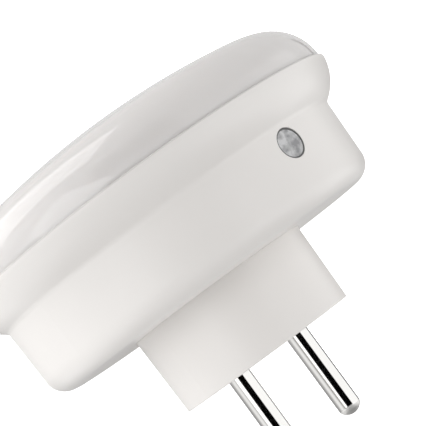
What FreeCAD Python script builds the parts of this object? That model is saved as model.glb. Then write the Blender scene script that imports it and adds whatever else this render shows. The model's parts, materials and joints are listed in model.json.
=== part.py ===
import FreeCAD, Part
import math
import os

# Plug-in night light with a light sensor. All sizes are in millimetres.
# The origin is the centre of the plug block's contact face, which lies against the socket.
# +Y runs along the contact pins into the socket, so the domed cover faces -Y.
# +Z points up to the sensor window, and the two pins lie on the X axis.

# Contact pins
PIN_RADIUS = 2.4
PIN_LENGTH = 19.5
PIN_TIP_HEIGHT = 1.9
PIN_TIP_SHOULDER_RADIUS = 1.5
PIN_SPACING = 19.0
PIN_SEAT_RADIUS = 2.6
PIN_SHOULDER_RADIUS = 3.3
PIN_TAIL_RADIUS = 1.5
PIN_TAIL_END_Y = -16.0
RETAINER_THICKNESS = 2.0
TAIL_CLEARANCE = 0.1

# Plug block
BLOCK_FACE_RADIUS = 19.06
BLOCK_ROOT_RADIUS = 19.42
BLOCK_EDGE_FILLET = 0.3
BLOCK_WALL = 2.0
BLOCK_FACE_THICKNESS = 3.0
PIN_BOSS_RADIUS = 4.6
PIN_BOSS_END_Y = -10.0
PIN_SHOULDER_Y = -7.0
CENTRE_BOSS_RADIUS = 3.0
FLANGE_RADIUS = 26.0
FLANGE_THICKNESS = 2.0

# Housing
BACK_Y = -16.65
BACK_FILLET = 4.26
WALL_BACK_RADIUS = 37.97
WAIST_RADIUS = 38.40
WAIST_Y = -32.74
WAIST_FILLET = 1.2
RIM_RADIUS = 43.21
RIM_ROLL_RADIUS = 4.0
RIM_ROLL_ANGLE = 13
RIM_BULGE = 0.82
SEAM_Y = -40.5
SEAM_ROUND = 0.2
WALL = 2.0
BLOCK_CLEARANCE = 0.13
SPIGOT_SEAT_RADIUS = 41.2
SPIGOT_SEAT_Y = -37.8
LEDGE_RADIUS = 38.6

# Domed cover
COVER_RADIUS = 42.57
COVER_WALL = 2.0
COVER_SHOULDER_RADIUS = 10.23
COVER_CROWN_RADIUS = 156.2
COVER_APEX_Y = -55.04
COVER_CHAMFER = 0.05
SKIRT_OUTER_RADIUS = 41.05
SKIRT_INNER_RADIUS = 39.6
SKIRT_END_Y = -38.0
SNAP_Y = -39.1
SNAP_HALF_WIDTH = 0.5
SNAP_HEIGHT = 0.35
SNAP_CLEARANCE = 0.1

# Circuit board
BOARD_RADIUS = 38.4
BOARD_THICKNESS = 1.6
BOARD_HOLE_RADIUS = 0.5
LEAD_RADIUS = 0.35
TRANSISTOR_LEAD_RADIUS = 0.25
PHOTOCELL_LEAD_RADIUS = 0.3
LEAD_STICK_OUT = 0.6
SOLDER_RADIUS = 0.9
SOLDER_TOP_RADIUS = 0.5
SOLDER_HEIGHT = 0.45
COMPONENT_GAP = 0.3

# Screws
POST_RING_RADIUS = 31.0
POST_RADIUS = 3.2
POST_ANGLES = (30, 150, 270)
BOARD_SCREW_RADIUS = 1.1
BOARD_SCREW_DEPTH = 8.0
BOARD_SCREW_HEAD_RADIUS = 2.4
FLANGE_SCREW_RING_RADIUS = 27.6
FLANGE_SCREW_RADIUS = 0.9
FLANGE_SCREW_DEPTH = 3.2
FLANGE_SCREW_HEAD_RADIUS = 3.6
FLANGE_BOSS_RADIUS = 2.6
FLANGE_SCREW_ANGLES = (45, 135, 225, 315)
SCREW_CLEARANCE = 0.2
HEAD_HEIGHT = 1.4
HEAD_ROUND = 0.5
CROSS_SHARE = 1.2
CROSS_WIDTH = 0.5
CROSS_HEIGHT = 1.2
RETAINER_SCREW_GAP = 0.4
BOARD_SCREW_GAP = 1.0
FLANGE_SCREW_GAP = 0.3

# Light sources and reflector
LED_COUNT = 6
LED_RING_RADIUS = 17.0
LED_FIRST_ANGLE = 30
LED_SIZE = 3.5
LED_HEIGHT = 0.8
LED_WELL_RADIUS = 1.3
LED_WELL_DEPTH = 0.4
CHIP_RING_RADIUS = 24.0
CHIP_SIZE = (2.0, 0.5, 1.2)
REFLECTOR_FLOOR_Y = -37.3
REFLECTOR_THICKNESS = 0.8
REFLECTOR_FLOOR_RADIUS = 34.0
REFLECTOR_RIM_RADIUS = 39.2
REFLECTOR_RIM_Y = -39.8
REFLECTOR_HOLE_RADIUS = 3.2
REFLECTOR_LIP = 1.0
REFLECTOR_FLOOR_STEP = 0.6
REFLECTOR_HEAD_CLEARANCE = 0.3
REFLECTOR_PEG_RADIUS = 1.2
REFLECTOR_PEG_RING_RADIUS = 30.0
REFLECTOR_PEG_ANGLES = (90, 210, 330)

# Light sensor, on the +Z side
SENSOR_Y = -28.75
WINDOW_RADIUS = 2.82
WINDOW_HOLE_RADIUS = 3.15
WINDOW_RECESS = 0.05
WINDOW_CROWN = 0.2
WINDOW_FLANGE_RADIUS = 4.2
WINDOW_FLANGE_OUT_Z = 35.9
WINDOW_FLANGE_IN_Z = 34.8
RING_OUTER_RADIUS = 3.12
RING_INNER_RADIUS = 2.85
RING_RECESS = 0.22
SHROUD_BORE_RADIUS = 3.0
SHROUD_END_Z = 29.5
SHROUD_FOOT_WIDTH = 4.0
SHROUD_FOOT_DEPTH = 3.0
PHOTOCELL_RADIUS = 2.6
PHOTOCELL_FRONT_Z = 33.2
PHOTOCELL_THICKNESS = 2.0
PHOTOCELL_FLAT_SIZE = (1.0, 8.0, 6.0)
PHOTOCELL_FLAT_OFFSET = 0.2
TRACK_THICKNESS = 0.1
TRACK_WIDTH = 0.34
TRACK_BARS = 5
TRACK_BAR_LENGTH = 2.6
PHOTOCELL_LEAD_SPACING = 3.4
PHOTOCELL_LEAD_BEND = 2.0
PHOTOCELL_LEAD_DROP_Z = 26.5

# Insulated leads from the pins to the board
WIRE_RADIUS = 0.75
WIRE_CORE_RADIUS = 0.4
WIRE_BEND_Y = -22.0
WIRE_SLANT_HEIGHT = 7.0
WIRE_BEND_RADIUS = 6.0
WIRE_PAD_X = 13.0
SLEEVE_RADIUS = 2.1
SLEEVE_START_Y = -13.2
SLEEVE_END_Y = -18.5

BOARD_REAR_Y = WAIST_Y - WALL
BOARD_FRONT_Y = BOARD_REAR_Y - BOARD_THICKNESS
INNER_BACK_Y = BACK_Y - WALL
FLANGE_TOP_Y = INNER_BACK_Y - FLANGE_THICKNESS
PLATE_TOP_Y = PIN_BOSS_END_Y - RETAINER_THICKNESS

# Through-hole parts on the board's rear face: centre x, centre z, lead spacing, lead direction
FILM_CAPACITOR = (-2.0, -18.0, 15.0, "x")
SMOOTHING_CAPACITOR = (12.0, 14.0, 5.0, "x")
FUSIBLE_RESISTOR = (20.0, -9.0, 15.0, "z")
DIODES = [(-21.0, z, 10.2, "x") for z in (-5.4, -1.8, 1.8, 5.4)]
BLEED_RESISTORS = [(-12.0, z, 10.2, "x") for z in (14.0, 17.6)]
ZENER_DIODE = (2.0, 7.0, 7.6, "x")
TRANSISTOR = (-1.0, 12.5, 2.54, "x")

# Bodies of those parts. An axial part's body is its radius and length.
FILM_CASE_SIZE = (18.0, 11.5, 9.0)
FILM_CASE_FILLET = 0.5
CAN_RADIUS = 5.0
CAN_HEIGHT = 12.5
CAN_ROUND = 0.4
CAN_GROOVE_HEIGHT = 2.0
CAN_GROOVE_HALF_WIDTH = 0.5
TRANSISTOR_RADIUS = 2.3
TRANSISTOR_HEIGHT = 4.6
TRANSISTOR_STAND = 2.0
TRANSISTOR_FLAT_SIZE = (6.0, 12.0, 4.0)
TRANSISTOR_FLAT_OFFSET = 3.3
TRANSISTOR_LEAD_OVERLAP = 0.5
LEAD_OVERLAP = 1.0
AXIAL_LEAD_BEND = 1.0
AXIAL_FILLET_SHARE = 0.3
FUSIBLE_BODY = (2.0, 10.0)
BLEED_BODY = (1.2, 6.3)
DIODE_BODY = (1.35, 5.2)
ZENER_BODY = (0.95, 3.8)

MATCH = 0.001


def point(x, y, z):
    return FreeCAD.Vector(x, y, z)


def cylinder_y(radius, y_from, y_to, x=0.0, z=0.0):
    """Cylinder along Y between two heights, in either order."""
    low = min(y_from, y_to)
    return Part.makeCylinder(radius, abs(y_to - y_from), point(x, low, z), point(0, 1, 0))


def cylinder_z(radius, z_from, z_to, x=0.0, y=0.0):
    low = min(z_from, z_to)
    return Part.makeCylinder(radius, abs(z_to - z_from), point(x, y, low), point(0, 0, 1))


def block(x_size, y_size, z_size, centre):
    corner = point(centre[0] - x_size / 2, centre[1] - y_size / 2, centre[2] - z_size / 2)
    return Part.makeBox(x_size, y_size, z_size, corner)


def spun(steps):
    """Solid of revolution about Y from (radius, y) steps.

    A step of one pair is the next corner. A step of two pairs is an arc, by a point on it and its end.
    """
    edges = []
    here = point(steps[0][0], steps[0][1], 0)
    for step in list(steps[1:]) + [steps[0]]:
        if isinstance(step[0], tuple):
            through = point(step[0][0], step[0][1], 0)
            there = point(step[1][0], step[1][1], 0)
            edges.append(Part.Arc(here, through, there).toShape())
        else:
            there = point(step[0], step[1], 0)
            edges.append(Part.makeLine(here, there))
        here = there
    face = Part.Face(Part.Wire(edges))
    return face.revolve(point(0, 0, 0), point(0, 1, 0), 360)


def on_circle(centre, radius, degrees):
    """Point of an arc in the outline plane, with the angle from +radius towards +y."""
    angle = math.radians(degrees)
    return (centre[0] + radius * math.cos(angle), centre[1] + radius * math.sin(angle))


def is_ring(edge, radius, y):
    """True for a circular edge about Y with this radius and place."""
    if not isinstance(edge.Curve, Part.Circle):
        return False
    return abs(edge.Curve.Radius - radius) < MATCH and abs(edge.Curve.Center.y - y) < MATCH


def ring_places(ring_radius, angles):
    """(x, z) of each place on a ring, with the angle from +X towards +Z."""
    places = []
    for degrees in angles:
        angle = math.radians(degrees)
        places.append((ring_radius * math.cos(angle), ring_radius * math.sin(angle)))
    return places


def joined(shapes):
    whole = shapes[0]
    for shape in shapes[1:]:
        whole = whole.fuse(shape)
    return whole.removeSplitter()


def lead_places(part):
    """(x, z) of a part's two leads on the board."""
    x, z, spacing, direction = part
    half = spacing / 2
    if direction == "x":
        return [(x - half, z), (x + half, z)]
    return [(x, z - half), (x, z + half)]


def pin_places():
    return {"pin_left": -PIN_SPACING / 2, "pin_right": PIN_SPACING / 2}


def wall_radius(y):
    """Outer radius of the tapered side wall."""
    share = (y - (BACK_Y - BACK_FILLET)) / (WAIST_Y - (BACK_Y - BACK_FILLET))
    return WALL_BACK_RADIUS + share * (WAIST_RADIUS - WALL_BACK_RADIUS)


def rear_housing():
    corner = (WALL_BACK_RADIUS - BACK_FILLET, BACK_Y - BACK_FILLET)
    inner_fillet = BACK_FILLET - WALL
    lip = (RIM_RADIUS - SEAM_ROUND, SEAM_Y + SEAM_ROUND)
    roll = (RIM_RADIUS - RIM_ROLL_RADIUS, lip[1])
    flare_end = on_circle(roll, RIM_ROLL_RADIUS, RIM_ROLL_ANGLE)
    chord_x = flare_end[0] - WAIST_RADIUS
    chord_y = flare_end[1] - WAIST_Y
    chord = math.hypot(chord_x, chord_y)
    bulge = (
        (WAIST_RADIUS + flare_end[0]) / 2 - RIM_BULGE * chord_y / chord,
        (WAIST_Y + flare_end[1]) / 2 + RIM_BULGE * chord_x / chord,
    )
    opening = BLOCK_ROOT_RADIUS + BLOCK_CLEARANCE
    groove = SNAP_HALF_WIDTH + SNAP_CLEARANCE
    steps = [
        (opening, BACK_Y),
        (corner[0], BACK_Y),
        (on_circle(corner, BACK_FILLET, 45), (WALL_BACK_RADIUS, corner[1])),
        (WAIST_RADIUS, WAIST_Y),
        (bulge, flare_end),
        (on_circle(roll, RIM_ROLL_RADIUS, RIM_ROLL_ANGLE / 2), (RIM_RADIUS, lip[1])),
        (on_circle(lip, SEAM_ROUND, -45), (lip[0], SEAM_Y)),
        (SPIGOT_SEAT_RADIUS, SEAM_Y),
        (SPIGOT_SEAT_RADIUS, SNAP_Y - groove),
        ((SPIGOT_SEAT_RADIUS + SNAP_HEIGHT, SNAP_Y), (SPIGOT_SEAT_RADIUS, SNAP_Y + groove)),
        (SPIGOT_SEAT_RADIUS, SPIGOT_SEAT_Y),
        (LEDGE_RADIUS, BOARD_REAR_Y),
        (WAIST_RADIUS - WALL, BOARD_REAR_Y),
        (WALL_BACK_RADIUS - WALL, corner[1]),
        (on_circle(corner, inner_fillet, 45), (corner[0], INNER_BACK_Y)),
        (opening, INNER_BACK_Y),
    ]
    shell = spun(steps)
    waist = [edge for edge in shell.Edges if is_ring(edge, WAIST_RADIUS, WAIST_Y)]
    shell = shell.makeFillet(WAIST_FILLET, waist)
    posts = [
        cylinder_y(POST_RADIUS, INNER_BACK_Y, BOARD_REAR_Y, x, z)
        for x, z in ring_places(POST_RING_RADIUS, POST_ANGLES)
    ]
    bosses = [
        cylinder_y(FLANGE_BOSS_RADIUS, INNER_BACK_Y, FLANGE_TOP_Y, x, z)
        for x, z in ring_places(FLANGE_SCREW_RING_RADIUS, FLANGE_SCREW_ANGLES)
    ]
    shell = joined([shell] + posts + bosses)
    for x, z in ring_places(POST_RING_RADIUS, POST_ANGLES):
        pilot = cylinder_y(BOARD_SCREW_RADIUS, BOARD_REAR_Y, BOARD_REAR_Y + BOARD_SCREW_DEPTH, x, z)
        shell = shell.cut(pilot)
    for x, z in ring_places(FLANGE_SCREW_RING_RADIUS, FLANGE_SCREW_ANGLES):
        pilot = cylinder_y(FLANGE_SCREW_RADIUS, FLANGE_TOP_Y, FLANGE_TOP_Y + FLANGE_SCREW_DEPTH, x, z)
        shell = shell.cut(pilot)
    window_hole = cylinder_z(WINDOW_HOLE_RADIUS, WINDOW_FLANGE_IN_Z, WAIST_RADIUS + 1, y=SENSOR_Y)
    return shell.cut(window_hole)


def plug_body():
    """Round block with a flange inside the housing, bosses for the pins and one for the centre screw."""
    edge = (BLOCK_FACE_RADIUS - BLOCK_EDGE_FILLET, -BLOCK_EDGE_FILLET)
    cavity = BLOCK_FACE_RADIUS - BLOCK_WALL
    body = spun([
        (0, 0),
        (edge[0], 0),
        (on_circle(edge, BLOCK_EDGE_FILLET, 45), (BLOCK_FACE_RADIUS, edge[1])),
        (BLOCK_ROOT_RADIUS, BACK_Y),
        (BLOCK_ROOT_RADIUS, INNER_BACK_Y),
        (FLANGE_RADIUS, INNER_BACK_Y),
        (FLANGE_RADIUS, FLANGE_TOP_Y),
        (cavity, FLANGE_TOP_Y),
        (cavity, -BLOCK_FACE_THICKNESS),
        (0, -BLOCK_FACE_THICKNESS),
    ])
    bosses = [
        cylinder_y(PIN_BOSS_RADIUS, -BLOCK_FACE_THICKNESS, PIN_BOSS_END_Y, x)
        for x in pin_places().values()
    ]
    bosses.append(cylinder_y(CENTRE_BOSS_RADIUS, -BLOCK_FACE_THICKNESS, PIN_BOSS_END_Y))
    body = joined([body] + bosses)
    for x in pin_places().values():
        body = body.cut(cylinder_y(PIN_SEAT_RADIUS, 0, PIN_SHOULDER_Y, x))
        body = body.cut(cylinder_y(PIN_SHOULDER_RADIUS, PIN_SHOULDER_Y, PIN_BOSS_END_Y, x))
    body = body.cut(cylinder_y(BOARD_SCREW_RADIUS, PIN_BOSS_END_Y, -BLOCK_FACE_THICKNESS - 1))
    for x, z in ring_places(FLANGE_SCREW_RING_RADIUS, FLANGE_SCREW_ANGLES):
        notch = cylinder_y(FLANGE_BOSS_RADIUS + SCREW_CLEARANCE, INNER_BACK_Y, FLANGE_TOP_Y, x, z)
        body = body.cut(notch)
    return body


def contact_pin(x):
    """Pin with a low domed tip, a pressed-in seat, a shoulder and a thinner tail for the wire."""
    tip_start = PIN_LENGTH - PIN_TIP_HEIGHT
    round_radius = PIN_TIP_SHOULDER_RADIUS
    round_centre = (PIN_RADIUS - round_radius, tip_start)
    rise = PIN_TIP_HEIGHT - round_radius
    dome_radius = (round_centre[0] ** 2 + PIN_TIP_HEIGHT ** 2 - round_radius ** 2) / (2 * rise)
    dome_centre = (0, PIN_LENGTH - dome_radius)
    join = math.degrees(math.atan2(tip_start - dome_centre[1], round_centre[0]))
    pin = spun([
        (0, PIN_LENGTH),
        (on_circle(dome_centre, dome_radius, (90 + join) / 2), on_circle(dome_centre, dome_radius, join)),
        (on_circle(round_centre, round_radius, join / 2), (PIN_RADIUS, tip_start)),
        (PIN_RADIUS, 0),
        (PIN_SEAT_RADIUS, 0),
        (PIN_SEAT_RADIUS, PIN_SHOULDER_Y),
        (PIN_SHOULDER_RADIUS, PIN_SHOULDER_Y),
        (PIN_SHOULDER_RADIUS, PIN_BOSS_END_Y),
        (PIN_TAIL_RADIUS, PIN_BOSS_END_Y),
        (PIN_TAIL_RADIUS, PIN_TAIL_END_Y),
        (0, PIN_TAIL_END_Y),
    ])
    return pin.translated(point(x, 0, 0))


def pin_retainer_plate():
    """Insulating bar over both pin shoulders, with rounded ends."""
    middle_y = (PIN_BOSS_END_Y + PLATE_TOP_Y) / 2
    plate = block(PIN_SPACING, RETAINER_THICKNESS, 2 * PIN_BOSS_RADIUS, (0, middle_y, 0))
    ends = [cylinder_y(PIN_BOSS_RADIUS, PIN_BOSS_END_Y, PLATE_TOP_Y, x) for x in pin_places().values()]
    plate = joined([plate] + ends)
    for x in pin_places().values():
        plate = plate.cut(cylinder_y(PIN_TAIL_RADIUS + TAIL_CLEARANCE, PIN_BOSS_END_Y, PLATE_TOP_Y, x))
    return plate.cut(cylinder_y(BOARD_SCREW_RADIUS + SCREW_CLEARANCE, PIN_BOSS_END_Y, PLATE_TOP_Y))


def screw(shank_radius, head_radius, head_seat_y, shank_length, x, z):
    """Pan-head screw pointing to +Y, with a cross recess in its head."""
    top_y = head_seat_y - HEAD_HEIGHT
    head = spun([
        (0, head_seat_y),
        (head_radius, head_seat_y),
        (head_radius, top_y + HEAD_ROUND),
        (on_circle((head_radius - HEAD_ROUND, top_y + HEAD_ROUND), HEAD_ROUND, -45),
         (head_radius - HEAD_ROUND, top_y)),
        (0, top_y),
    ])
    solid = joined([head, cylinder_y(shank_radius, head_seat_y, head_seat_y + shank_length)])
    slot_length = CROSS_SHARE * head_radius
    for size in ((slot_length, CROSS_WIDTH), (CROSS_WIDTH, slot_length)):
        solid = solid.cut(block(size[0], CROSS_HEIGHT, size[1], (0, top_y, 0)))
    return solid.translated(point(x, 0, z))


def retainer_screw():
    hole_end_y = -BLOCK_FACE_THICKNESS - 1
    length = abs(PLATE_TOP_Y - hole_end_y) - RETAINER_SCREW_GAP
    return screw(BOARD_SCREW_RADIUS, BOARD_SCREW_HEAD_RADIUS, PLATE_TOP_Y, length, 0, 0)


def board_screws():
    """Three screws through the board into the housing's posts."""
    length = BOARD_THICKNESS + BOARD_SCREW_DEPTH - BOARD_SCREW_GAP
    return Part.makeCompound([
        screw(BOARD_SCREW_RADIUS, BOARD_SCREW_HEAD_RADIUS, BOARD_FRONT_Y, length, x, z)
        for x, z in ring_places(POST_RING_RADIUS, POST_ANGLES)
    ])


def housing_screws():
    """Four washer-head screws that clamp the plug block's flange."""
    length = FLANGE_SCREW_DEPTH - FLANGE_SCREW_GAP
    return Part.makeCompound([
        screw(FLANGE_SCREW_RADIUS, FLANGE_SCREW_HEAD_RADIUS, FLANGE_TOP_Y, length, x, z)
        for x, z in ring_places(FLANGE_SCREW_RING_RADIUS, FLANGE_SCREW_ANGLES)
    ])


def tail_sleeves():
    sleeves = []
    for x in pin_places().values():
        outer = cylinder_y(SLEEVE_RADIUS, SLEEVE_START_Y, SLEEVE_END_Y, x)
        sleeves.append(outer.cut(cylinder_y(PIN_TAIL_RADIUS, SLEEVE_START_Y, SLEEVE_END_Y, x)))
    return Part.makeCompound(sleeves)


def tube(corners, bend_radius, radius):
    """Round rod along straight runs with tangent arcs of one radius between them."""
    pieces = []
    here = corners[0]
    for index in range(1, len(corners) - 1):
        corner = corners[index]
        before = (corners[index - 1] - corner).normalize()
        after = (corners[index + 1] - corner).normalize()
        turn = math.pi - before.getAngle(after)
        setback = bend_radius * math.tan(turn / 2)
        start = corner + before * setback
        end = corner + after * setback
        inward = (before + after).normalize()
        middle = corner + inward * (bend_radius / math.cos(turn / 2) - bend_radius)
        pieces.append(Part.makeLine(here, start))
        pieces.append(Part.Arc(start, middle, end).toShape())
        here = end
    pieces.append(Part.makeLine(here, corners[-1]))
    path = Part.Wire(pieces)
    section = Part.Wire(Part.makeCircle(radius, corners[0], corners[1] - corners[0]))
    return path.makePipeShell([section], True, False)


def lead_wire(pin_x):
    """Insulated wire from a pin's tail to its pad, with the bare core through the board."""
    pad_x = math.copysign(WIRE_PAD_X, pin_x)
    corners = [
        point(pin_x, PIN_TAIL_END_Y, 0),
        point(pin_x, WIRE_BEND_Y, 0),
        point(pad_x, WIRE_BEND_Y - WIRE_SLANT_HEIGHT, 0),
        point(pad_x, BOARD_REAR_Y, 0),
    ]
    core = cylinder_y(WIRE_CORE_RADIUS, BOARD_REAR_Y, BOARD_FRONT_Y - LEAD_STICK_OUT, pad_x)
    return joined([tube(corners, WIRE_BEND_RADIUS, WIRE_RADIUS), core])


def two_leads(part, top_y):
    """Straight leads from a part's underside through the board."""
    return [
        cylinder_y(LEAD_RADIUS, top_y, BOARD_FRONT_Y - LEAD_STICK_OUT, x, z)
        for x, z in lead_places(part)
    ]


def axial_part(part, body_radius, body_length):
    """Axial component lying on the board: a barrel with two bent leads."""
    x, z, _, direction = part
    y = BOARD_REAR_Y + body_radius + COMPONENT_GAP
    first, last = lead_places(part)
    bottom = BOARD_FRONT_Y - LEAD_STICK_OUT
    wire = tube(
        [point(first[0], bottom, first[1]), point(first[0], y, first[1]),
         point(last[0], y, last[1]), point(last[0], bottom, last[1])],
        AXIAL_LEAD_BEND, LEAD_RADIUS)
    along = point(1, 0, 0) if direction == "x" else point(0, 0, 1)
    start = point(x, y, z) - along * (body_length / 2)
    barrel = Part.makeCylinder(body_radius, body_length, start, along)
    ends = [edge for edge in barrel.Edges if edge.Curve.TypeId == "Part::GeomCircle"]
    barrel = barrel.makeFillet(AXIAL_FILLET_SHARE * body_radius, ends)
    return joined([barrel, wire])


def film_capacitor():
    x, z = FILM_CAPACITOR[:2]
    base_y = BOARD_REAR_Y + COMPONENT_GAP
    case = block(*FILM_CASE_SIZE, (x, base_y + FILM_CASE_SIZE[1] / 2, z))
    case = case.makeFillet(FILM_CASE_FILLET, case.Edges)
    return joined([case] + two_leads(FILM_CAPACITOR, base_y + LEAD_OVERLAP))


def smoothing_capacitor():
    """Round can with a rolled groove near its base."""
    x, z = SMOOTHING_CAPACITOR[:2]
    base_y = BOARD_REAR_Y + COMPONENT_GAP
    top_y = base_y + CAN_HEIGHT
    groove_y = base_y + CAN_GROOVE_HEIGHT
    inset = CAN_RADIUS - CAN_ROUND
    can = spun([
        (0, base_y),
        (inset, base_y),
        (on_circle((inset, base_y + CAN_ROUND), CAN_ROUND, -45), (CAN_RADIUS, base_y + CAN_ROUND)),
        (CAN_RADIUS, groove_y - CAN_GROOVE_HALF_WIDTH),
        ((inset, groove_y), (CAN_RADIUS, groove_y + CAN_GROOVE_HALF_WIDTH)),
        (CAN_RADIUS, top_y - CAN_ROUND),
        (on_circle((inset, top_y - CAN_ROUND), CAN_ROUND, 45), (inset, top_y)),
        (0, top_y),
    ])
    can = can.translated(point(x, 0, z))
    return joined([can] + two_leads(SMOOTHING_CAPACITOR, base_y + LEAD_OVERLAP))


def switching_transistor():
    """Small transistor case with one flat side, on three leads."""
    x, z, spacing = TRANSISTOR[:3]
    base_y = BOARD_REAR_Y + TRANSISTOR_STAND
    lead_top_y = base_y + TRANSISTOR_LEAD_OVERLAP
    bottom = BOARD_FRONT_Y - LEAD_STICK_OUT
    case = cylinder_y(TRANSISTOR_RADIUS, base_y, base_y + TRANSISTOR_HEIGHT, x, z)
    case = case.cut(block(*TRANSISTOR_FLAT_SIZE, (x, base_y, z + TRANSISTOR_FLAT_OFFSET)))
    leads = [
        cylinder_y(TRANSISTOR_LEAD_RADIUS, lead_top_y, bottom, x + offset, z)
        for offset in (-spacing / 2, 0, spacing / 2)
    ]
    return joined([case] + leads)


def through_hole_places():
    """(x, z, wire radius) of every lead that passes through the board."""
    places = []
    parts = [FILM_CAPACITOR, SMOOTHING_CAPACITOR, FUSIBLE_RESISTOR, ZENER_DIODE]
    for part in parts + DIODES + BLEED_RESISTORS:
        places.extend([(x, z, LEAD_RADIUS) for x, z in lead_places(part)])
    for x, z in lead_places(TRANSISTOR) + [TRANSISTOR[:2]]:
        places.append((x, z, TRANSISTOR_LEAD_RADIUS))
    for side in (-1, 1):
        places.append((side * WIRE_PAD_X, 0, WIRE_CORE_RADIUS))
        x = side * PHOTOCELL_LEAD_SPACING / 2
        places.append((x, PHOTOCELL_LEAD_DROP_Z, PHOTOCELL_LEAD_RADIUS))
    return places


def solder_joints():
    """A small cone of solder on the board's front face around each lead."""
    joints = []
    for x, z, wire_radius in through_hole_places():
        cone = Part.makeCone(SOLDER_RADIUS, SOLDER_TOP_RADIUS, SOLDER_HEIGHT,
                             point(x, BOARD_FRONT_Y, z), point(0, -1, 0))
        top_y = BOARD_FRONT_Y - SOLDER_HEIGHT
        joints.append(cone.cut(cylinder_y(wire_radius, BOARD_FRONT_Y, top_y, x, z)))
    return Part.makeCompound(joints)


def main_board():
    board = cylinder_y(BOARD_RADIUS, BOARD_REAR_Y, BOARD_FRONT_Y)
    for x, z, _ in through_hole_places():
        board = board.cut(cylinder_y(BOARD_HOLE_RADIUS, BOARD_REAR_Y, BOARD_FRONT_Y, x, z))
    for x, z in ring_places(POST_RING_RADIUS, POST_ANGLES):
        hole = cylinder_y(BOARD_SCREW_RADIUS + SCREW_CLEARANCE, BOARD_REAR_Y, BOARD_FRONT_Y, x, z)
        board = board.cut(hole)
    return board


def led_places():
    angles = [LED_FIRST_ANGLE + index * 360 / LED_COUNT for index in range(LED_COUNT)]
    return ring_places(LED_RING_RADIUS, angles)


def led_packages():
    """Square light source packages, each with a round well in its front."""
    packages = []
    for x, z in led_places():
        package = block(LED_SIZE, LED_HEIGHT, LED_SIZE, (x, BOARD_FRONT_Y - LED_HEIGHT / 2, z))
        front_y = BOARD_FRONT_Y - LED_HEIGHT
        well = cylinder_y(LED_WELL_RADIUS, front_y, front_y + LED_WELL_DEPTH, x, z)
        packages.append(package.cut(well))
    return Part.makeCompound(packages)


def led_phosphors():
    front_y = BOARD_FRONT_Y - LED_HEIGHT
    return Part.makeCompound([
        cylinder_y(LED_WELL_RADIUS, front_y, front_y + LED_WELL_DEPTH, x, z)
        for x, z in led_places()
    ])


def chip_resistors():
    """One small chip outside the gap between each two light sources."""
    angles = [index * 360 / LED_COUNT for index in range(LED_COUNT)]
    return Part.makeCompound([
        block(*CHIP_SIZE, (x, BOARD_FRONT_Y - CHIP_SIZE[1] / 2, z))
        for x, z in ring_places(CHIP_RING_RADIUS, angles)
    ])


def reflector():
    """Shallow white dish on three pegs, open over each light source."""
    front_y = REFLECTOR_FLOOR_Y - REFLECTOR_THICKNESS
    dish = spun([
        (0, REFLECTOR_FLOOR_Y),
        (REFLECTOR_FLOOR_RADIUS, REFLECTOR_FLOOR_Y),
        (REFLECTOR_RIM_RADIUS, REFLECTOR_RIM_Y),
        (REFLECTOR_RIM_RADIUS - REFLECTOR_LIP, REFLECTOR_RIM_Y),
        (REFLECTOR_FLOOR_RADIUS - REFLECTOR_FLOOR_STEP, front_y),
        (0, front_y),
    ])
    pegs = [
        cylinder_y(REFLECTOR_PEG_RADIUS, front_y, BOARD_FRONT_Y, x, z)
        for x, z in ring_places(REFLECTOR_PEG_RING_RADIUS, REFLECTOR_PEG_ANGLES)
    ]
    dish = joined([dish] + pegs)
    for x, z in led_places():
        dish = dish.cut(cylinder_y(REFLECTOR_HOLE_RADIUS, REFLECTOR_FLOOR_Y, front_y, x, z))
    head_hole_radius = BOARD_SCREW_HEAD_RADIUS + REFLECTOR_HEAD_CLEARANCE
    for x, z in ring_places(POST_RING_RADIUS, POST_ANGLES):
        dish = dish.cut(cylinder_y(head_hole_radius, REFLECTOR_FLOOR_Y, front_y, x, z))
    return dish


def diffuser_cover():
    """Domed cover: a wide crown and a round shoulder, with a snap-in skirt under it."""
    crown = (0, COVER_APEX_Y + COVER_CROWN_RADIUS)
    run = COVER_RADIUS - COVER_SHOULDER_RADIUS
    reach = COVER_CROWN_RADIUS - COVER_SHOULDER_RADIUS
    shoulder = (run, crown[1] - math.sqrt(reach ** 2 - run ** 2))
    tangent = math.degrees(math.asin(run / reach))
    inner_crown = COVER_CROWN_RADIUS - COVER_WALL
    inner_shoulder = COVER_SHOULDER_RADIUS - COVER_WALL
    shoulder_middle = (tangent - 90) / 2
    return spun([
        (0, COVER_APEX_Y),
        (on_circle(crown, COVER_CROWN_RADIUS, -90 + tangent / 2),
         on_circle(crown, COVER_CROWN_RADIUS, -90 + tangent)),
        (on_circle(shoulder, COVER_SHOULDER_RADIUS, shoulder_middle), (COVER_RADIUS, shoulder[1])),
        (COVER_RADIUS, SEAM_Y - COVER_CHAMFER),
        (COVER_RADIUS - 2 * COVER_CHAMFER, SEAM_Y),
        (SKIRT_OUTER_RADIUS, SEAM_Y),
        (SKIRT_OUTER_RADIUS, SNAP_Y - SNAP_HALF_WIDTH),
        ((SKIRT_OUTER_RADIUS + SNAP_HEIGHT, SNAP_Y), (SKIRT_OUTER_RADIUS, SNAP_Y + SNAP_HALF_WIDTH)),
        (SKIRT_OUTER_RADIUS, SKIRT_END_Y),
        (SKIRT_INNER_RADIUS, SKIRT_END_Y),
        (SKIRT_INNER_RADIUS, shoulder[1]),
        (COVER_RADIUS - COVER_WALL, shoulder[1]),
        (on_circle(shoulder, inner_shoulder, shoulder_middle),
         on_circle(crown, inner_crown, -90 + tangent)),
        (on_circle(crown, inner_crown, -90 + tangent / 2), (0, COVER_APEX_Y + COVER_WALL)),
    ])


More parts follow.
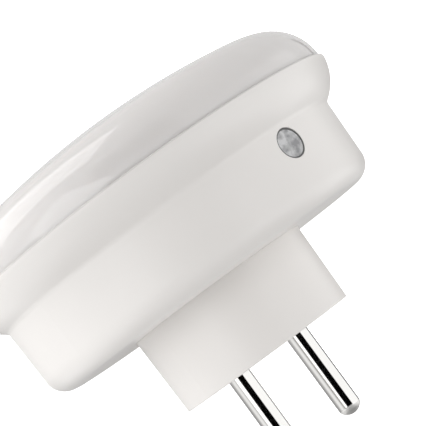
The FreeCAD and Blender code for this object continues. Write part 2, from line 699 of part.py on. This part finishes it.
def sensor_window():
    """Clear stepped lens, pushed out through the wall from inside, with a slightly crowned front."""
    front_z = wall_radius(SENSOR_Y) - WINDOW_RECESS
    crown_radius = (WINDOW_RADIUS ** 2 + WINDOW_CROWN ** 2) / (2 * WINDOW_CROWN)
    edge_z = front_z - WINDOW_CROWN
    lens = cylinder_z(WINDOW_RADIUS, WINDOW_FLANGE_OUT_Z, front_z, y=SENSOR_Y)
    ball = Part.makeSphere(crown_radius, point(0, SENSOR_Y, front_z - crown_radius))
    neck = cylinder_z(WINDOW_RADIUS, WINDOW_FLANGE_OUT_Z, edge_z, y=SENSOR_Y)
    lens = joined([lens.common(ball), neck])
    flange = cylinder_z(WINDOW_FLANGE_RADIUS, WINDOW_FLANGE_IN_Z, WINDOW_FLANGE_OUT_Z, y=SENSOR_Y)
    return joined([lens, flange])


def window_ring():
    """Dark sealing ring in the hole through the wall, round the lens and resting on its flange."""
    outer_z = wall_radius(SENSOR_Y) - RING_RECESS
    ring = cylinder_z(RING_OUTER_RADIUS, WINDOW_FLANGE_OUT_Z, outer_z, y=SENSOR_Y)
    return ring.cut(cylinder_z(RING_INNER_RADIUS, WINDOW_FLANGE_OUT_Z, outer_z, y=SENSOR_Y))


def sensor_shroud():
    """Opaque tube behind the window, standing on the board on one foot."""
    tube_body = cylinder_z(WINDOW_FLANGE_RADIUS, SHROUD_END_Z, WINDOW_FLANGE_IN_Z, y=SENSOR_Y)
    foot_z = (SHROUD_END_Z + WINDOW_FLANGE_IN_Z) / 2
    foot_height = SENSOR_Y - BOARD_REAR_Y
    foot_centre = (0, BOARD_REAR_Y + foot_height / 2, foot_z)
    foot = block(SHROUD_FOOT_WIDTH, foot_height, SHROUD_FOOT_DEPTH, foot_centre)
    bore = cylinder_z(SHROUD_BORE_RADIUS, SHROUD_END_Z, WINDOW_FLANGE_IN_Z, y=SENSOR_Y)
    return joined([tube_body, foot]).cut(bore)


def photocell_body():
    back_z = PHOTOCELL_FRONT_Z - PHOTOCELL_THICKNESS
    disc = cylinder_z(PHOTOCELL_RADIUS, back_z, PHOTOCELL_FRONT_Z, y=SENSOR_Y)
    for side in (-1, 1):
        x = side * (PHOTOCELL_RADIUS + PHOTOCELL_FLAT_OFFSET)
        disc = disc.cut(block(*PHOTOCELL_FLAT_SIZE, (x, SENSOR_Y, back_z)))
    return disc


def photocell_track():
    """Winding light-sensitive track on the photocell's face: bars joined at alternate ends."""
    middle_z = PHOTOCELL_FRONT_Z + TRACK_THICKNESS / 2
    pitch = 2 * TRACK_WIDTH
    bars = []
    for index in range(TRACK_BARS):
        y = SENSOR_Y + (index - (TRACK_BARS - 1) / 2) * pitch
        bars.append(block(TRACK_BAR_LENGTH, TRACK_WIDTH, TRACK_THICKNESS, (0, y, middle_z)))
        if index < TRACK_BARS - 1:
            side = 1 if index % 2 else -1
            x = side * (TRACK_BAR_LENGTH - TRACK_WIDTH) / 2
            bars.append(block(TRACK_WIDTH, pitch, TRACK_THICKNESS, (x, y + pitch / 2, middle_z)))
    return joined(bars)


def photocell_leads():
    """Two wires from the photocell's back, bent down through the board."""
    back_z = PHOTOCELL_FRONT_Z - PHOTOCELL_THICKNESS
    leads = []
    for side in (-1, 1):
        x = side * PHOTOCELL_LEAD_SPACING / 2
        leads.append(tube(
            [point(x, SENSOR_Y, back_z), point(x, SENSOR_Y, PHOTOCELL_LEAD_DROP_Z),
             point(x, BOARD_FRONT_Y - LEAD_STICK_OUT, PHOTOCELL_LEAD_DROP_Z)],
            PHOTOCELL_LEAD_BEND, PHOTOCELL_LEAD_RADIUS))
    return Part.makeCompound(leads)


def build():
    pins = pin_places()
    return {
        "rear_housing": rear_housing(),
        "plug_body": plug_body(),
        "pin_left": contact_pin(pins["pin_left"]),
        "pin_right": contact_pin(pins["pin_right"]),
        "pin_retainer_plate": pin_retainer_plate(),
        "retainer_screw": retainer_screw(),
        "tail_sleeves": tail_sleeves(),
        "live_lead": lead_wire(pins["pin_left"]),
        "neutral_lead": lead_wire(pins["pin_right"]),
        "housing_screws": housing_screws(),
        "main_board": main_board(),
        "board_screws": board_screws(),
        "solder_joints": solder_joints(),
        "film_capacitor": film_capacitor(),
        "smoothing_capacitor": smoothing_capacitor(),
        "fusible_resistor": axial_part(FUSIBLE_RESISTOR, *FUSIBLE_BODY),
        "bleed_resistors": Part.makeCompound([axial_part(part, *BLEED_BODY) for part in BLEED_RESISTORS]),
        "rectifier_diodes": Part.makeCompound([axial_part(part, *DIODE_BODY) for part in DIODES]),
        "zener_diode": axial_part(ZENER_DIODE, *ZENER_BODY),
        "switching_transistor": switching_transistor(),
        "led_packages": led_packages(),
        "led_phosphors": led_phosphors(),
        "chip_resistors": chip_resistors(),
        "reflector": reflector(),
        "diffuser_cover": diffuser_cover(),
        "sensor_window": sensor_window(),
        "window_ring": window_ring(),
        "sensor_shroud": sensor_shroud(),
        "photocell_body": photocell_body(),
        "photocell_track": photocell_track(),
        "photocell_leads": photocell_leads(),
    }


os.makedirs("parts", exist_ok=True)
for name, shape in build().items():
    shape.exportStep("parts/" + name + ".step")
    print(name, "valid" if shape.isValid() else "INVALID", len(shape.Solids), round(shape.Volume, 2))
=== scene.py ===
import json
import math

import bpy
from mathutils import Matrix, Vector


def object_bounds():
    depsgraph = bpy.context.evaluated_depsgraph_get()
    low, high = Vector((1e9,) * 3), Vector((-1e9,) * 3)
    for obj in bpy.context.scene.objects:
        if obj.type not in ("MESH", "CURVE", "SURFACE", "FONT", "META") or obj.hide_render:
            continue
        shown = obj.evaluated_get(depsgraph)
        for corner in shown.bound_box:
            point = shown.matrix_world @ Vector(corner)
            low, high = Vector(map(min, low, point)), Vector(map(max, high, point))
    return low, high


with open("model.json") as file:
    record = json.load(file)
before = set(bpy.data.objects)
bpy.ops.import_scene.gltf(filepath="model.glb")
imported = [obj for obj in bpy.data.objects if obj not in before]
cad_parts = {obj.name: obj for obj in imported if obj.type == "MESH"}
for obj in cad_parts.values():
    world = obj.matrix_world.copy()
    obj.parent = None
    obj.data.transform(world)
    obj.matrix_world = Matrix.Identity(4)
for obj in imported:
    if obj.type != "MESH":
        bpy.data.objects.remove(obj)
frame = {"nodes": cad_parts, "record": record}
cad_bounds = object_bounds()

# Camera, placed round the plug axis. Angles in degrees, lengths in metres, lens and sensor in mm.
CAMERA_DISTANCE = 0.3841
CAMERA_TURN = 43.0
CAMERA_BEHIND_FACE = 0.00496
CAMERA_TILT = (-3.503, 1.153, -0.495)
CAMERA_ROLL = -36.8
CAMERA_LENS = 166.28
SENSOR_WIDTH = 36.0
CLIP_START = 0.01
CLIP_END = 50

# Floor. Lengths in metres, noise in cycles per metre.
FLOOR_DROP = 0.25
FLOOR_SIZE = 8.0
FLOOR_COLOUR = (0.95, 0.95, 0.95, 1)
FLOOR_NOISE_SCALE = 4
FLOOR_ROUGHNESS = (0.55, 0.65)
FLOOR_GLOW = 1.0

# Every finish: the values between which most of a noise lies.
NOISE_LOW = 0.3
NOISE_HIGH = 0.7

# Moulded plastic. Noise scales in cycles per metre, depth in metres. The gloss range is in shares
# of the roughness.
PLASTIC_VARIATION = 0.015
PLASTIC_CLOUD_SCALE = 45
PLASTIC_GLOSS_SCALE = 160
PLASTIC_GLOSS_RANGE = (0.9, 1.12)
PLASTIC_GRAIN_SCALE = 900
PLASTIC_GRAIN_STRENGTH = 0.25
PLASTIC_GRAIN_DEPTH = 0.00002

# Metal, in the same units.
METAL_STAIN_SCALE = 120
METAL_STAIN_TONES = (0.97, 1.02)
METAL_POLISH_RANGE = (0.7, 1.4)
METAL_GRAIN_SCALE = 1500
METAL_GRAIN_STRENGTH = 0.3
METAL_GRAIN_DEPTH = 0.000004

# Pin tips, duller and with painted shade over the dome: the height of the dome and the run over which
# they blend in, in metres.
PIN_TIP_HEIGHT = 0.0019
PIN_TIP_SHADE_BLEND = 0.0004
PIN_TIP_ROUGHNESS = 0.5
PIN_TIP_SHADE_TONE = 0.75

# Painted shade along the seam, a darker line standing in for the shadow in the crevice there: its width
# in metres, and how many of its widths it takes to fade out.
SEAM_SHADE_LINE = 0.0002
SEAM_SHADE_FADE = 1.5
SEAM_ROUGHNESS = 0.7
SEAM_SHADE_TONE = 0.8

# Sensor lens. Noise scales in cycles per metre, depth in metres.
LENS_CLEAR_COLOUR = (0.42, 0.42, 0.43)
LENS_HAZE_COLOUR = (0.94, 0.94, 0.95)
LENS_HAZE_SCALE = 560
LENS_HAZE_RANGE = (0.38, 0.62)
LENS_TRANSMISSION = 0.35
LENS_IOR = 1.49
LENS_GLOSS_SCALE = 700
LENS_ROUGHNESS = (0.02, 0.1)
LENS_RIPPLE_SCALE = 420
LENS_RIPPLE_STRENGTH = 0.5
LENS_RIPPLE_DEPTH = 0.0001

# Cover. Noise scales in cycles per metre, depths in metres.
COVER_DARKER = (0.71, 0.685, 0.67)
COVER_LIGHTER = (0.73, 0.705, 0.69)
COVER_CLOUD_SCALE = 30
COVER_GLOSS_SCALE = 120
COVER_ROUGHNESS = (0.015, 0.03)
COVER_SUBSURFACE = 0.4
COVER_SUBSURFACE_DEPTH = 0.004
COVER_SUBSURFACE_RADIUS = (1.0, 0.95, 0.9)
COVER_IOR = 1.55
COVER_RIPPLE_SCALE = 60
COVER_RIPPLE_STRENGTH = 0.1
COVER_RIPPLE_DEPTH = 0.00002

# Base colour and roughness of each plastic, by material slot.
PLASTICS = {
    "housing_white": ((0.84, 0.815, 0.79), 0.32),
    "block_white": ((0.85, 0.825, 0.80), 0.34),
    "inner_plastic": ((0.72, 0.71, 0.67), 0.5),
    "sleeve_black": ((0.03, 0.03, 0.03), 0.5),
    "wire_brown": ((0.20, 0.09, 0.04), 0.4),
    "wire_blue": ((0.04, 0.12, 0.45), 0.4),
    "board_white": ((0.80, 0.81, 0.79), 0.35),
    "capacitor_yellow": ((0.80, 0.55, 0.08), 0.45),
    "capacitor_black": ((0.03, 0.03, 0.05), 0.3),
    "resistor_green": ((0.25, 0.42, 0.25), 0.6),
    "resistor_tan": ((0.70, 0.55, 0.35), 0.4),
    "diode_black": ((0.03, 0.03, 0.03), 0.45),
    "zener_orange": ((0.70, 0.25, 0.08), 0.15),
    "led_white": ((0.88, 0.88, 0.86), 0.3),
    "phosphor_yellow": ((0.90, 0.80, 0.25), 0.2),
    "chip_black": ((0.05, 0.05, 0.05), 0.4),
    "reflector_white": ((0.90, 0.90, 0.88), 0.25),
    "ring_black": ((0.09, 0.09, 0.09), 0.45),
    "shroud_black": ((0.02, 0.02, 0.02), 0.5),
    "photocell_ceramic": ((0.78, 0.75, 0.68), 0.4),
    "track_red": ((0.50, 0.20, 0.08), 0.4),
}

# Base colour and roughness of each metal, by material slot.
METALS = {
    "pin_nickel": ((0.80, 0.79, 0.77), 0.07),
    "screw_steel": ((0.58, 0.58, 0.60), 0.3),
    "solder": ((0.72, 0.72, 0.72), 0.2),
    "lead_tinned": ((0.74, 0.74, 0.74), 0.25),
}

# Domed pieces. The surface of each one closes at a pole on its axis. A vertex counts as the pole
# when it is this near to the axis, in metres.
DOMED_NODES = ("diffuser_cover", "pin_left", "pin_right", "sensor_window")
POLE_REACH = 0.000005

# Opposite corners of a node's bounding box, by their place in its list.
LOW_CORNER = 0
HIGH_CORNER = 6

# Sockets of a Mix node: its two inputs and its result, for numbers and for colours.
MIX_FACTOR = 0
MIX_SOCKETS = {"FLOAT": (2, 3, 0), "RGBA": (6, 7, 2)}

# Studio: the light from all round the object, and the backdrop that only the camera sees.
SURROUND = 0.71
BACKDROP = 1.0

# How soft the edge of a panel or card is, in degrees, and the least depth of a flat panel.
FINE_EDGE = 1
EDGE = 3
SOFT_EDGE = 8
LEAST_DEPTH = 0.001

# Panels add light. Each has its turns and rises in degrees, its strength and its edge. Left and
# right are turns from the camera, low is towards the pins, and high is towards the dome.
PANELS = {
    "low left": ((-145, -50), (-46, -15), 0.85, EDGE),
    "low right": ((34, 138), (-46, -15), 1.0, EDGE),
    "high left": ((-135, -50), (4, 50), 0.5, EDGE),
    "level right": ((34, 126), (-15, 20), 0.5, EDGE),
    "level left": ((-100, -66), (-12, 2), 0.35, SOFT_EDGE),
}

# Cards take light away. Each has its turns and rises, its darkness and its edge.
CARDS = {
    "level front": ((-50, 34), (-15, 4), 1.0, EDGE),
    "high front": ((-20, 34), (20, 50), 1.0, EDGE),
    "level back left": ((-172, -112), (-15, 4), 0.45, SOFT_EDGE),
    "level back right": ((132, 165), (-15, 4), 0.85, EDGE),
    "fine back right": ((149, 153), (4, 16), 0.8, FINE_EDGE),
    "low back": ((168, 200), (-50, 2), 0.2, EDGE),
    "fine back": ((181, 184), (-20, 2), 0.6, FINE_EDGE),
    "lowest": ((-190, 190), (-100, -46), 0.5, EDGE),
}

# Softboxes are flat panels. Each has its turn, rise and roll in degrees, its width and height, its
# strength and its edge. The width, height and edge are shares of its distance.
SOFTBOXES = {
    "high left": (-106, 57, 76, (1.3, 0.64), 1.85, 0.01),
    "front left": (-39, 13, -40, (0.82, 0.7), 1.7, 0.04),
}


def view_axes():
    """Across the picture before roll, towards the dome, and towards the camera."""
    turn = math.radians(CAMERA_TURN)
    across = Vector((-math.cos(turn), 0, math.sin(turn)))
    domeward = Vector((0, -1, 0))
    nearer = Vector((math.sin(turn), 0, math.cos(turn)))
    return across, domeward, nearer


def make_camera():
    across, domeward, nearer = view_axes()
    base = Matrix((across, domeward, nearer)).transposed()
    tilt = Vector([math.radians(value) for value in CAMERA_TILT])
    tilted = Matrix.Rotation(tilt.length, 3, tilt.normalized()).transposed()
    roll = Matrix.Rotation(math.radians(CAMERA_ROLL), 3, "Z")
    data = bpy.data.cameras.new("photo_camera")
    data.lens = CAMERA_LENS
    data.sensor_width = SENSOR_WIDTH
    data.clip_start = CLIP_START
    data.clip_end = CLIP_END
    camera = bpy.data.objects.new("photo_camera", data)
    place = domeward * CAMERA_BEHIND_FACE + nearer * CAMERA_DISTANCE
    camera.matrix_world = Matrix.Translation(place) @ (base @ tilted @ roll).to_4x4()
    bpy.context.scene.collection.objects.link(camera)
    bpy.context.scene.camera = camera


class Tree:
    """A node tree, with short calls to add and link nodes."""

    def __init__(self, tree):
        self.tree = tree

    def add(self, kind, **inputs):
        node = self.tree.nodes.new(kind)
        for key, value in inputs.items():
            self.set(node, key, value)
        return node

    def set(self, node, key, value):
        """Links another node's output to an input, or gives the input a fixed value."""
        socket = node.inputs[key]
        if isinstance(value, bpy.types.NodeSocket):
            self.tree.links.new(value, socket)
        else:
            socket.default_value = value

    def mix(self, kind, factor, first, second):
        """Mixes two numbers, when the kind is FLOAT, or two colours, when it is RGBA."""
        node = self.add("ShaderNodeMix")
        node.data_type = kind
        first_socket, second_socket, result = MIX_SOCKETS[kind]
        self.set(node, MIX_FACTOR, factor)
        self.set(node, first_socket, first)
        self.set(node, second_socket, second)
        return node.outputs[result]


class Finish(Tree):
    """The nodes of one material."""

    def __init__(self, material):
        material.use_nodes = True
        super().__init__(material.node_tree)
        self.material = material
        self.shader = self.tree.nodes["Principled BSDF"]
        self.place = self.add("ShaderNodeTexCoord").outputs["Object"]

    def shade(self, key, value):
        """Sets an input of the material's shader."""
        self.set(self.shader, key, value)

    def noise(self, scale, detail=2.0):
        """Noise with its scale in cycles per metre."""
        node = self.add("ShaderNodeTexNoise", Vector=self.place, Scale=scale, Detail=detail)
        return node.outputs[0]

    def spread(self, source, low, high, start=NOISE_LOW, end=NOISE_HIGH):
        """Maps the run from start to end onto the run from low to high."""
        node = self.add("ShaderNodeMapRange")
        self.set(node, "Value", source)
        self.set(node, "From Min", start)
        self.set(node, "From Max", end)
        self.set(node, "To Min", low)
        self.set(node, "To Max", high)
        return node.outputs[0]

    def mix_colour(self, factor, first, second):
        return self.mix("RGBA", factor, (*first, 1), (*second, 1))

    def bump(self, height, strength, distance):
        node = self.add("ShaderNodeBump", Height=height, Strength=strength, Distance=distance)
        self.shade("Normal", node.outputs[0])

    def along_plug_axis(self):
        return self.add("ShaderNodeSeparateXYZ", Vector=self.place).outputs["Y"]

    def blend_over(self, key, factor, target):
        """Blends a shader input from what drives it so far to the target value."""
        kind = "RGBA" if key == "Base Color" else "FLOAT"
        even = self.shader.inputs[key].links[0].from_socket
        self.shade(key, self.mix(kind, factor, even, target))


def new_finish(name):
    return Finish(bpy.data.materials.new(name))


def tone(colour, factor):
    return tuple(min(1.0, part * factor) for part in colour)


def plastic(name):
    """Moulded plastic: faint cloudiness, uneven gloss and a fine surface grain."""
    colour, roughness = PLASTICS[name]
    least, most = PLASTIC_GLOSS_RANGE
    darker = tone(colour, 1 - PLASTIC_VARIATION)
    lighter = tone(colour, 1 + PLASTIC_VARIATION)
    finish = new_finish(name)
    cloud = finish.spread(finish.noise(PLASTIC_CLOUD_SCALE), 0, 1)
    gloss = finish.noise(PLASTIC_GLOSS_SCALE, detail=3)
    finish.shade("Base Color", finish.mix_colour(cloud, darker, lighter))
    finish.shade("Roughness", finish.spread(gloss, roughness * least, roughness * most))
    finish.bump(finish.noise(PLASTIC_GRAIN_SCALE), PLASTIC_GRAIN_STRENGTH, PLASTIC_GRAIN_DEPTH)
    return finish.material


def metal(name):
    """Bare or plated metal with uneven polish."""
    colour, roughness = METALS[name]
    least, most = METAL_POLISH_RANGE
    darker, lighter = [tone(colour, factor) for factor in METAL_STAIN_TONES]
    finish = new_finish(name)
    stain = finish.spread(finish.noise(METAL_STAIN_SCALE, detail=3), 0, 1)
    polish = finish.noise(METAL_GRAIN_SCALE, detail=3)
    finish.shade("Base Color", finish.mix_colour(stain, darker, lighter))
    finish.shade("Metallic", 1.0)
    finish.shade("Roughness", finish.spread(polish, roughness * least, roughness * most))
    finish.bump(finish.noise(METAL_GRAIN_SCALE), METAL_GRAIN_STRENGTH, METAL_GRAIN_DEPTH)
    return finish.material


def pin_metal(name):
    """Polished plating, duller and darkened over the domed tip: painted shade standing in for the
    darker reflection there.
    """
    finish = Finish(metal(name))
    tip_start = max(corner[1] for corner in frame["nodes"]["pin_left"].bound_box) - PIN_TIP_HEIGHT
    # Painted shade: the tip's colour is darkened where its reflection is darker.
    tip_shade = finish.spread(finish.along_plug_axis(), 0, 1, tip_start, tip_start + PIN_TIP_SHADE_BLEND)
    finish.blend_over("Roughness", tip_shade, PIN_TIP_ROUGHNESS)
    finish.blend_over("Base Color", tip_shade, (*tone(METALS[name][0], PIN_TIP_SHADE_TONE), 1))
    return finish.material


def housing_plastic_with_seam_shade(name):
    """Housing plastic, with a fine darker line of painted shade along the seam with the cover."""
    finish = Finish(plastic(name))
    seam_y = min(corner[1] for corner in frame["nodes"]["rear_housing"].bound_box)
    line_end = seam_y + SEAM_SHADE_LINE
    fade_end = seam_y + SEAM_SHADE_FADE * SEAM_SHADE_LINE
    # Painted shade: darker and rougher next to the seam, where the crevice shadow falls.
    seam_shade = finish.spread(finish.along_plug_axis(), 1, 0, line_end, fade_end)
    finish.blend_over("Roughness", seam_shade, SEAM_ROUGHNESS)
    finish.blend_over("Base Color", seam_shade, (*tone(PLASTICS[name][0], SEAM_SHADE_TONE), 1))
    return finish.material


def clear_lens(name):
    """Clear moulded lens, with a milky haze in uneven patches."""
    finish = new_finish(name)
    haze = finish.spread(finish.noise(LENS_HAZE_SCALE, detail=4), 0, 1, *LENS_HAZE_RANGE)
    gloss = finish.noise(LENS_GLOSS_SCALE, detail=3)
    finish.shade("Base Color", finish.mix_colour(haze, LENS_CLEAR_COLOUR, LENS_HAZE_COLOUR))
    finish.shade("Transmission Weight", LENS_TRANSMISSION)
    finish.shade("IOR", LENS_IOR)
    finish.shade("Roughness", finish.spread(gloss, *LENS_ROUGHNESS))
    finish.bump(finish.noise(LENS_RIPPLE_SCALE), LENS_RIPPLE_STRENGTH, LENS_RIPPLE_DEPTH)
    return finish.material


def opal_cover(name):
    """Milky glossy cover."""
    finish = new_finish(name)
    cloud = finish.spread(finish.noise(COVER_CLOUD_SCALE), 0, 1)
    gloss = finish.noise(COVER_GLOSS_SCALE)
    finish.shade("Base Color", finish.mix_colour(cloud, COVER_DARKER, COVER_LIGHTER))
    finish.shade("Roughness", finish.spread(gloss, *COVER_ROUGHNESS))
    finish.shade("Subsurface Weight", COVER_SUBSURFACE)
    finish.shade("Subsurface Scale", COVER_SUBSURFACE_DEPTH)
    finish.shade("Subsurface Radius", COVER_SUBSURFACE_RADIUS)
    finish.shade("IOR", COVER_IOR)
    finish.bump(finish.noise(COVER_RIPPLE_SCALE, detail=1), COVER_RIPPLE_STRENGTH, COVER_RIPPLE_DEPTH)
    return finish.material


# Finishes with a function of their own. Every other slot is a plain plastic or metal.
SPECIAL_FINISHES = {
    "housing_white": housing_plastic_with_seam_shade,
    "pin_nickel": pin_metal,
    "window_clear": clear_lens,
    "cover_opal": opal_cover,
}


def material_for(slot):
    plain = metal if slot in METALS else plastic
    return SPECIAL_FINISHES.get(slot, plain)(slot)


def dress_nodes():
    """Gives every CAD node the finish of its slot."""
    finishes = {}
    for part in frame["record"]["subparts"]:
        slot = part["material_slot"]
        if slot not in finishes:
            finishes[slot] = material_for(slot)
        data = frame["nodes"][part["node"]].data
        data.materials.clear()
        data.materials.append(finishes[slot])


def at_pole(place, middle):
    """True where a vertex lies on a line through the middle of its node, along X, Y or Z."""
    return sum(abs(place[axis] - middle[axis]) < POLE_REACH for axis in range(3)) >= 2


def mend_poles(node):
    """Gives the corners at the pole of a dome the normal of their own face."""
    mesh = node.data
    low, high = node.bound_box[LOW_CORNER], node.bound_box[HIGH_CORNER]
    middle = [(low[axis] + high[axis]) / 2 for axis in range(3)]
    normals = [corner.vector.copy() for corner in mesh.corner_normals]
    for face in mesh.polygons:
        for corner in face.loop_indices:
            if at_pole(mesh.vertices[mesh.loops[corner].vertex_index].co, middle):
                normals[corner] = face.normal.copy()
    mesh.normals_split_custom_set(normals)


def make_floor():
    """Pale floor that glows evenly. The camera sees it, but it neither lights nor shades the object."""
    bpy.ops.mesh.primitive_plane_add(size=FLOOR_SIZE, location=(0, 0, cad_bounds[0][2] - FLOOR_DROP))
    floor = bpy.context.object
    floor.name = "floor"
    finish = new_finish("floor_white")
    gloss = finish.noise(FLOOR_NOISE_SCALE, detail=3)
    finish.shade("Base Color", FLOOR_COLOUR)
    finish.shade("Roughness", finish.spread(gloss, *FLOOR_ROUGHNESS))
    finish.shade("Emission Color", (1, 1, 1, 1))
    finish.shade("Emission Strength", FLOOR_GLOW)
    floor.data.materials.append(finish.material)
    floor.visible_diffuse = False
    floor.visible_glossy = False
    floor.visible_transmission = False
    floor.visible_shadow = False


class Studio(Tree):
    """World light made of panels and dark cards.

    Turn is the angle round the plug axis from the camera, and rise is the angle towards the dome.
    """

    def __init__(self):
        world = bpy.data.worlds.new("studio")
        bpy.context.scene.world = world
        world.use_nodes = True
        super().__init__(world.node_tree)
        self.background = self.tree.nodes["Background"]
        self.set(self.background, "Color", (1, 1, 1, 1))
        self.seen = self.add("ShaderNodeLightPath").outputs["Is Camera Ray"]
        self.ray = self.add("ShaderNodeTexCoord").outputs["Generated"]
        across, domeward, nearer = view_axes()
        turn = self.compute("ARCTAN2", self.dot(across), self.dot(nearer))
        self.turn = self.compute("DEGREES", turn)
        self.rise = self.compute("DEGREES", self.compute("ARCSINE", self.dot(domeward)))
        self.total = SURROUND

    def compute(self, operation, *values):
        node = self.add("ShaderNodeMath")
        node.operation = operation
        for index, value in enumerate(values):
            self.set(node, index, value)
        return node.outputs[0]

    def dot(self, axis):
        """How far the ray points along an axis."""
        node = self.add("ShaderNodeVectorMath")
        node.operation = "DOT_PRODUCT"
        self.set(node, 0, self.ray)
        self.set(node, 1, axis)
        return node.outputs["Value"]

    def within(self, offset, half_width, softness):
        """1 inside the half width, falling smoothly to 0 across its edge."""
        node = self.add("ShaderNodeMapRange")
        node.interpolation_type = "SMOOTHSTEP"
        self.set(node, "Value", self.compute("ABSOLUTE", offset))
        self.set(node, "From Min", half_width + softness)
        self.set(node, "From Max", half_width - softness)
        return node.outputs[0]

    def patch(self, turns, rises, softness):
        """1 between two turns and two rises, in degrees."""
        turn = self.compute("SUBTRACT", self.turn, (turns[0] + turns[1]) / 2)
        turn = self.compute("WRAP", turn, 180, -180)
        rise = self.compute("SUBTRACT", self.rise, (rises[0] + rises[1]) / 2)
        return self.compute("MULTIPLY", self.within(turn, (turns[1] - turns[0]) / 2, softness),
                            self.within(rise, (rises[1] - rises[0]) / 2, softness))

    def panel(self, turns, rises, strength, softness):
        """Curved panel that adds light."""
        light = self.compute("MULTIPLY", self.patch(turns, rises, softness), strength)
        self.total = self.compute("ADD", self.total, light)

    def card(self, turns, rises, darkness, softness):
        """Dark card in front of what is there so far."""
        shade = self.compute("MULTIPLY", self.patch(turns, rises, softness), darkness)
        self.total = self.compute("MULTIPLY", self.total, self.compute("SUBTRACT", 1, shade))

    def softbox(self, turn, rise, roll, size, strength, softness):
        """Flat panel. Its size and softness are given as shares of its distance."""
        across, domeward, nearer = view_axes()
        turn, rise, roll = math.radians(turn), math.radians(rise), math.radians(roll)
        level = across * math.sin(turn) + nearer * math.cos(turn)
        centre = level * math.cos(rise) + domeward * math.sin(rise)
        side = across * math.cos(turn) - nearer * math.sin(turn)
        top = domeward * math.cos(rise) - level * math.sin(rise)
        width_axis = side * math.cos(roll) + top * math.sin(roll)
        height_axis = top * math.cos(roll) - side * math.sin(roll)
        depth = self.dot(centre)
        distance = self.compute("MAXIMUM", depth, LEAST_DEPTH)
        inside = self.compute("GREATER_THAN", depth, 0)
        for axis, length in ((width_axis, size[0]), (height_axis, size[1])):
            offset = self.compute("DIVIDE", self.dot(axis), distance)
            inside = self.compute("MULTIPLY", inside, self.within(offset, length / 2, softness))
        light = self.compute("MULTIPLY", inside, strength)
        self.total = self.compute("ADD", self.total, light)

    def show(self):
        """The object sees the panels. The camera sees a plain backdrop."""
        self.set(self.background, "Strength", self.mix("FLOAT", self.seen, self.total, BACKDROP))


def make_lights():
    """Lays the panels first, then the cards over them, then the softboxes."""
    studio = Studio()
    for panel in PANELS.values():
        studio.panel(*panel)
    for card in CARDS.values():
        studio.card(*card)
    for softbox in SOFTBOXES.values():
        studio.softbox(*softbox)
    studio.show()
    bpy.context.scene.view_settings.view_transform = "Standard"


make_camera()
dress_nodes()
for domed in DOMED_NODES:
    mend_poles(frame["nodes"][domed])
make_floor()
make_lights()
